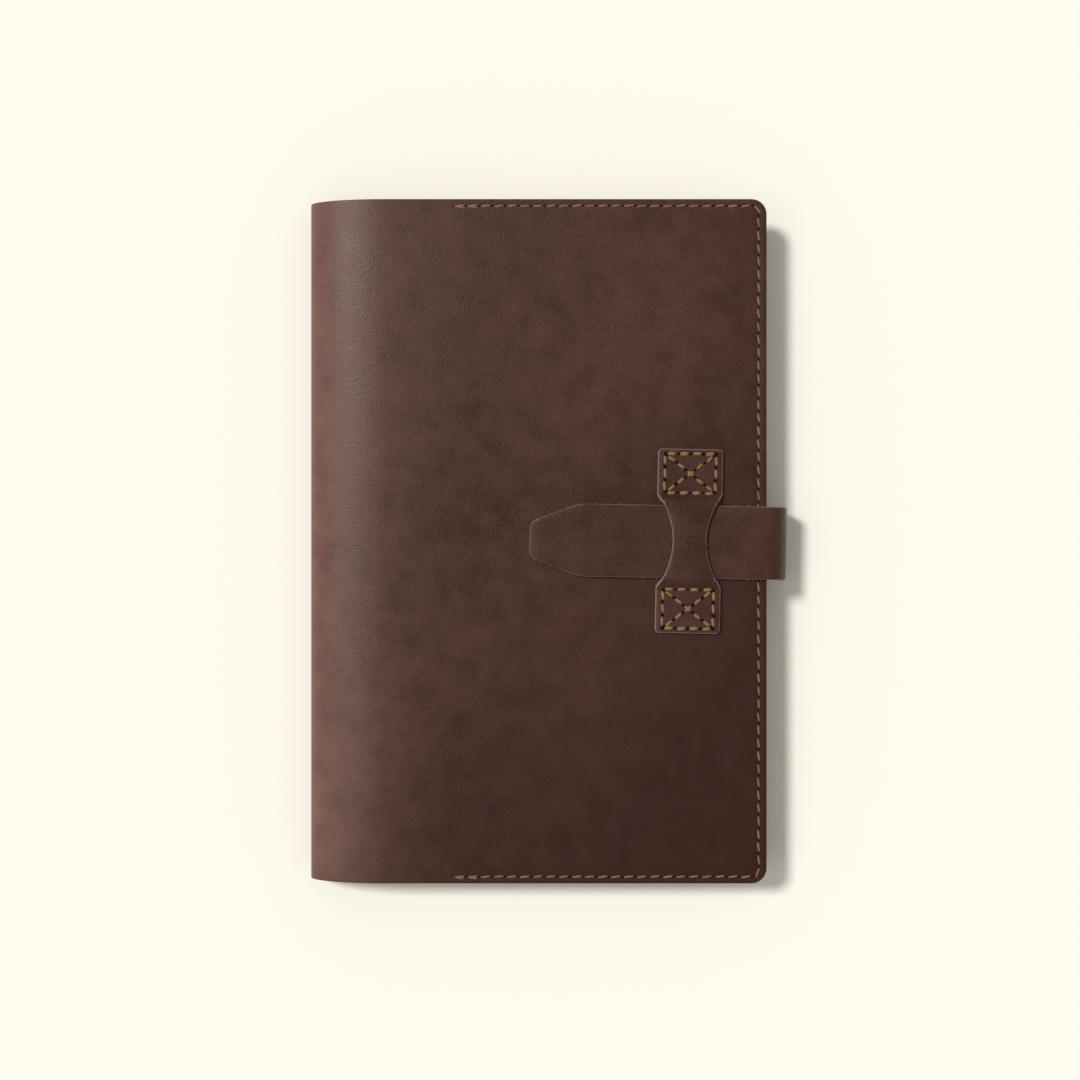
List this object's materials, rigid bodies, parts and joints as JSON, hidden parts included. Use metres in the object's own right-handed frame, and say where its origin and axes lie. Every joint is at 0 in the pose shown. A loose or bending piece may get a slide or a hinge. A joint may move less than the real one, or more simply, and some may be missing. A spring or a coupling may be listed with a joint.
{
  "type": "leather notebook cover",
  "caption": "Leather notebook cover with sewn pockets, a wrap-round strap held by a stitched bow-tie keeper, and a softcover notebook inside.",
  "frame": {"origin": "middle of the whole object in plan, on the plane that the back cover lies on", "axes": "+X from spine to fore edge, +Y from tail to head, +Z from back cover to front cover"},
  "size_m": [0.1566, 0.222, 0.0222],
  "materials": {
    "cover_leather": "dark brown oiled leather, fine grain, soft sheen",
    "pocket_leather": "dark brown leather, flesh side out, matt",
    "strap_leather": "dark brown leather with raw cut edges",
    "edge_thread": "tan waxed thread",
    "keeper_thread": "thick golden-brown waxed thread",
    "cover_card": "dark smooth card",
    "end_paper": "buff endpaper",
    "page_paper": "ivory uncoated paper",
    "mull_cloth": "open-weave cotton"
  },
  "bodies": {
    "back_cover": {"back_panel": "cover_leather", "spine": "cover_leather", "back_pocket": "pocket_leather", "back_seam": "edge_thread", "notebook_cover": "cover_card", "back_endpaper": "end_paper", "front_endpaper": "end_paper", "spine_mull": "mull_cloth", "signature_1": "page_paper", "signature_2": "page_paper", "signature_3": "page_paper", "signature_4": "page_paper", "signature_5": "page_paper", "signature_6": "page_paper", "signature_7": "page_paper", "signature_8": "page_paper", "signature_9": "page_paper", "signature_10": "page_paper", "signature_11": "page_paper", "signature_12": "page_paper"},
    "front_cover": {"front_panel": "cover_leather", "front_pocket": "pocket_leather", "front_seam": "edge_thread", "keeper": "strap_leather", "head_pad_stitches": "keeper_thread", "tail_pad_stitches": "keeper_thread"},
    "strap": {"strap": "strap_leather"}
  },
  "joints": [
    {"name": "cover_open", "type": "hinge", "parent": "back_cover", "child": "front_cover", "pos_m": [-0.076, 0, 0.01115], "axis": [0, -1, 0], "range_deg": [0, 180], "deforming": ["spine"]},
    {"name": "strap_swing", "type": "hinge", "parent": "back_cover", "child": "strap", "pos_m": [0.0774, 0, 0.0102], "axis": [0, 1, 0], "range_deg": [0, 180], "deforming": ["strap"]}
  ],
  "couplings": [
    {"joint": "strap_swing", "follows": "cover_open", "ratio": 1}
  ]
}
